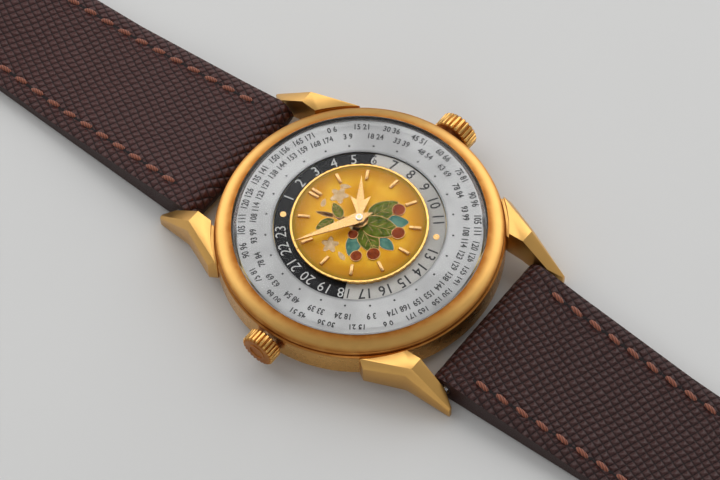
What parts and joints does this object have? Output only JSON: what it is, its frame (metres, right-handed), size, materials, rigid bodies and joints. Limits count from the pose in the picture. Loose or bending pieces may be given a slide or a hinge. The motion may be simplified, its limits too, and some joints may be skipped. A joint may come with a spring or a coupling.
{
  "type": "world time wristwatch",
  "caption": "round two-crown watch with a turning city disc, a day and night ring, an enamel centre, faceted lugs and a leather strap with a pin buckle",
  "frame": {"origin": "middle of the flat face that the case back rests on", "axes": "+X toward three o'clock, +Y toward twelve o'clock, +Z out of the dial"},
  "size_m": [0.0416, 0.2441, 0.0098],
  "materials": {
    "polished_gold": "polished with a fine satin grain and a brown patina near edges",
    "satin_gold": "brushed along the lug",
    "crystal_clear": "clear, domed",
    "silvered": "satin silvered with dark printing",
    "day_night_enamel": "half black, half silver, with numerals",
    "enamel": "vitreous enamel with thin gold wires",
    "gold_hands": "polished",
    "steel": "brushed",
    "blued_spring": "tempered",
    "movement_brass": "gilt",
    "bridge_metal": "rhodium grey, brushed",
    "gasket_rubber": "matt",
    "strap_leather": "dark brown, cross-hatched grain, reddish stitching"
  },
  "bodies": {
    "case": {"case_band": "polished_gold", "back_gasket": "gasket_rubber", "bezel": "polished_gold", "crystal": "crystal_clear", "case_back": "polished_gold", "lug_twelve_right": "satin_gold", "lug_twelve_left": "satin_gold", "lug_six_right": "satin_gold", "lug_six_left": "satin_gold", "spring_bars": "steel", "crown_tubes": "steel", "main_plate": "movement_brass", "casing_ring": "bridge_metal", "world_time_plate": "movement_brass", "dial_base": "polished_gold", "enamel_plate": "enamel", "hour_markers": "gold_hands", "barrel_bridge": "bridge_metal", "train_bridge": "bridge_metal", "balance_cock": "bridge_metal", "bridge_screws": "steel"},
    "minute_works": {"centre_wheel": "movement_brass", "cannon_pinion": "steel", "minute_hand": "gold_hands"},
    "hour_works": {"hour_wheel": "movement_brass", "hour_hand": "gold_hands"},
    "motion_wheel": {"minute_wheel": "movement_brass"},
    "night_idler": {"day_night_idler": "movement_brass"},
    "night_ring": {"day_night_ring": "day_night_enamel", "day_night_gear": "movement_brass"},
    "barrel_drum": {"mainspring_barrel": "movement_brass", "mainspring": "blued_spring"},
    "third": {"third_wheel": "movement_brass"},
    "fourth": {"fourth_wheel": "movement_brass"},
    "escapement": {"escape_wheel": "steel"},
    "fork": {"pallet_fork": "steel"},
    "balance": {"balance_wheel": "movement_brass", "hairspring": "blued_spring"},
    "city_winder": {"city_crown": "polished_gold", "city_stem": "steel"},
    "city_drive": {"city_drive_wheel": "movement_brass"},
    "city_ring": {"city_disc": "silvered", "city_gear_ring": "movement_brass"},
    "setting": {"setting_lever": "steel"},
    "winder": {"winding_crown": "polished_gold", "winding_stem": "steel"},
    "pinion": {"winding_pinion": "steel", "sliding_clutch": "steel"},
    "winding_wheel": {"crown_wheel": "steel", "contrate_wheel": "steel"},
    "ratchet": {"ratchet_wheel": "steel", "barrel_arbor": "steel"},
    "click_piece": {"click": "steel"},
    "strap_upper": {"strap_twelve": "strap_leather", "fixed_keeper": "strap_leather"},
    "strap_lower": {"strap_six": "strap_leather"},
    "keeper_loop": {"free_keeper": "strap_leather"},
    "buckle": {"buckle_frame": "polished_gold", "buckle_bar": "steel"},
    "tongue": {"buckle_tongue": "polished_gold"}
  },
  "joints": [
    {"name": "minute_turn", "type": "hinge", "parent": "case", "child": "minute_works", "pos_m": [0, 0, 0.0045], "axis": [0, 0, -1], "continuous": true},
    {"name": "hour_turn", "type": "hinge", "parent": "case", "child": "hour_works", "pos_m": [0, 0, 0.0049], "axis": [0, 0, -1], "continuous": true},
    {"name": "motion_turn", "type": "hinge", "parent": "case", "child": "motion_wheel", "pos_m": [0.00277, -0.0016, 0.0047], "axis": [0, 0, -1], "continuous": true},
    {"name": "idler_turn", "type": "hinge", "parent": "case", "child": "night_idler", "pos_m": [-0.0039, 0.00225, 0.0056], "axis": [0, 0, -1], "continuous": true},
    {"name": "night_turn", "type": "hinge", "parent": "case", "child": "night_ring", "pos_m": [0, 0, 0.0061], "axis": [0, 0, -1], "continuous": true},
    {"name": "barrel_turn", "type": "hinge", "parent": "case", "child": "barrel_drum", "pos_m": [0.00421, 0.00502, 0.0029], "axis": [0, 0, -1], "continuous": true},
    {"name": "third_turn", "type": "hinge", "parent": "case", "child": "third", "pos_m": [-0.00321, -0.00225, 0.0026], "axis": [0, 0, -1], "continuous": true},
    {"name": "fourth_turn", "type": "hinge", "parent": "case", "child": "fourth", "pos_m": [-0.00352, -0.00574, 0.0026], "axis": [0, 0, -1], "continuous": true},
    {"name": "escape_turn", "type": "hinge", "parent": "case", "child": "escapement", "pos_m": [-0.00085, -0.00728, 0.0029], "axis": [0, 0, -1], "continuous": true},
    {"name": "fork_swing", "type": "hinge", "parent": "case", "child": "fork", "pos_m": [0.0015, -0.00725, 0.003], "axis": [0, 0, 1], "range_deg": [-5, 5]},
    {"name": "balance_swing", "type": "hinge", "parent": "case", "child": "balance", "pos_m": [0.005, -0.0072, 0.0024], "axis": [0, 0, 1], "range_deg": [-270, 270]},
    {"name": "city_crown_turn", "type": "hinge", "parent": "case", "child": "city_winder", "pos_m": [-0.0196, 0, 0.0036], "axis": [1, 0, 0], "continuous": true},
    {"name": "city_drive_turn", "type": "hinge", "parent": "case", "child": "city_drive", "pos_m": [-0.01238, 0, 0.0048], "axis": [0, 0, 1], "continuous": true},
    {"name": "city_disc_turn", "type": "hinge", "parent": "case", "child": "city_ring", "pos_m": [0, 0, 0.0062], "axis": [0, 0, 1], "continuous": true},
    {"name": "setting_pull", "type": "slide", "parent": "case", "child": "setting", "axis": [1, 0, 0], "range_m": [0, 0.0008]},
    {"name": "winding_turn", "type": "hinge", "parent": "setting", "child": "winder", "pos_m": [0.0198, 0, 0.0036], "axis": [1, 0, 0], "continuous": true},
    {"name": "pinion_turn", "type": "hinge", "parent": "case", "child": "pinion", "pos_m": [0.011, 0, 0.0036], "axis": [1, 0, 0], "continuous": true},
    {"name": "crown_wheel_turn", "type": "hinge", "parent": "case", "child": "winding_wheel", "pos_m": [0.0096, 0, 0.002], "axis": [0, 0, 1], "continuous": true},
    {"name": "ratchet_turn", "type": "hinge", "parent": "case", "child": "ratchet", "pos_m": [0.00421, 0.00502, 0.0011], "axis": [0, 0, 1], "continuous": true},
    {"name": "click_swing", "type": "hinge", "parent": "case", "child": "click_piece", "pos_m": [-0.00121, 0.00815, 0.0011], "axis": [0, 0, 1], "range_deg": [-12, 12]},
    {"name": "strap_upper_swing", "type": "hinge", "parent": "case", "child": "strap_upper", "pos_m": [0, 0.0209, 0.00215], "axis": [1, 0, 0], "range_deg": [-80, 45]},
    {"name": "strap_lower_swing", "type": "hinge", "parent": "case", "child": "strap_lower", "pos_m": [0, -0.0209, 0.00215], "axis": [-1, 0, 0], "range_deg": [-80, 45]},
    {"name": "keeper_slide", "type": "slide", "parent": "strap_upper", "child": "keeper_loop", "axis": [0, 1, 0], "range_m": [-0.006, 0.0027]},
    {"name": "buckle_swing", "type": "hinge", "parent": "strap_upper", "child": "buckle", "pos_m": [0, 0.094, 0.00245], "axis": [1, 0, 0], "range_deg": [-60, 40]},
    {"name": "tongue_swing", "type": "hinge", "parent": "buckle", "child": "tongue", "pos_m": [0, 0.094, 0.00245], "axis": [1, 0, 0], "range_deg": [0, 60]}
  ],
  "couplings": [
    {"joint": "hour_turn", "follows": "minute_turn", "ratio": 0.083333},
    {"joint": "motion_turn", "follows": "minute_turn", "ratio": -0.33333},
    {"joint": "idler_turn", "follows": "minute_turn", "ratio": -0.16667},
    {"joint": "night_turn", "follows": "minute_turn", "ratio": -0.041667},
    {"joint": "barrel_turn", "follows": "minute_turn", "ratio": -0.16667},
    {"joint": "third_turn", "follows": "minute_turn", "ratio": -6},
    {"joint": "fourth_turn", "follows": "minute_turn", "ratio": 36},
    {"joint": "escape_turn", "follows": "minute_turn", "ratio": -216},
    {"joint": "city_drive_turn", "follows": "city_crown_turn", "ratio": 0.5},
    {"joint": "city_disc_turn", "follows": "city_crown_turn", "ratio": 0.041667},
    {"joint": "pinion_turn", "follows": "winding_turn", "ratio": 1},
    {"joint": "crown_wheel_turn", "follows": "winding_turn", "ratio": 0.83333},
    {"joint": "ratchet_turn", "follows": "winding_turn", "ratio": -0.41667}
  ]
}
